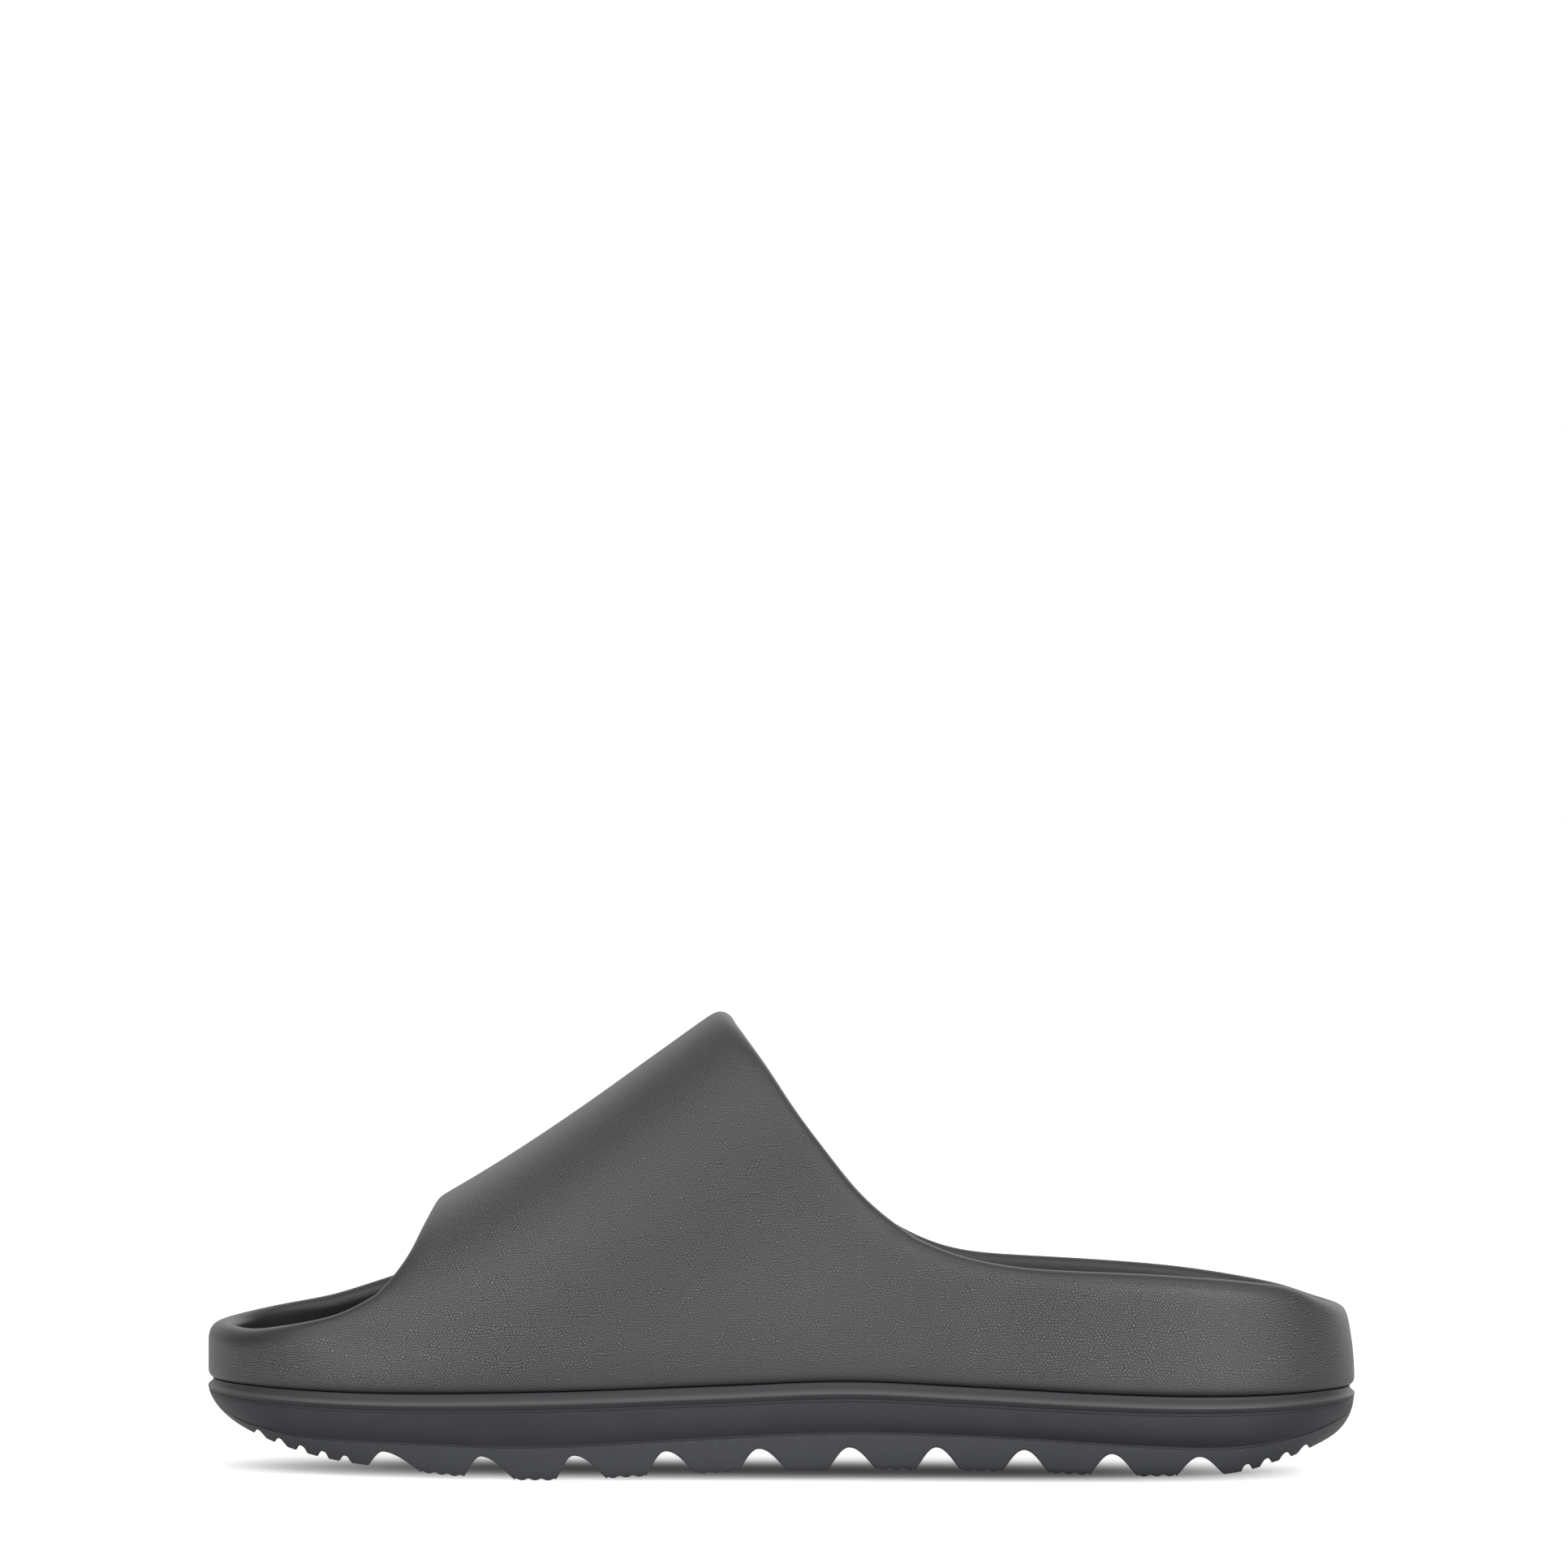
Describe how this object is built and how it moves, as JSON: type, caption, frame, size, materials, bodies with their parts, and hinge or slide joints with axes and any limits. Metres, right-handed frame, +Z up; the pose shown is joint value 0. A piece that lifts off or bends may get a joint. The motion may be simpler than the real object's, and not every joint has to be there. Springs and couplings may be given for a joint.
{
  "type": "slide sandal",
  "caption": "Moulded foam slide sandal for the left foot, with a low wall round the foot, one wide strap over the instep and a lugged sole.",
  "frame": {"origin": "on the floor, below the middle of the shoe's length and width", "axes": "+X towards the heel, +Y towards the inner side of the left foot, +Z up"},
  "size_m": [0.3, 0.1111, 0.118],
  "materials": {
    "upper_foam": "matt dark slate grey foam with a fine pebbled grain",
    "footbed_foam": "matt dark slate grey foam with a fine grain",
    "midsole_foam": "satin lip over a finely cross-hatched side band",
    "outsole_foam": "smooth satin foam with small teeth on the lugs"
  },
  "bodies": {
    "root": {"upper": "upper_foam", "insole": "footbed_foam", "midsole": "midsole_foam", "outsole": "outsole_foam"}
  },
  "joints": []
}
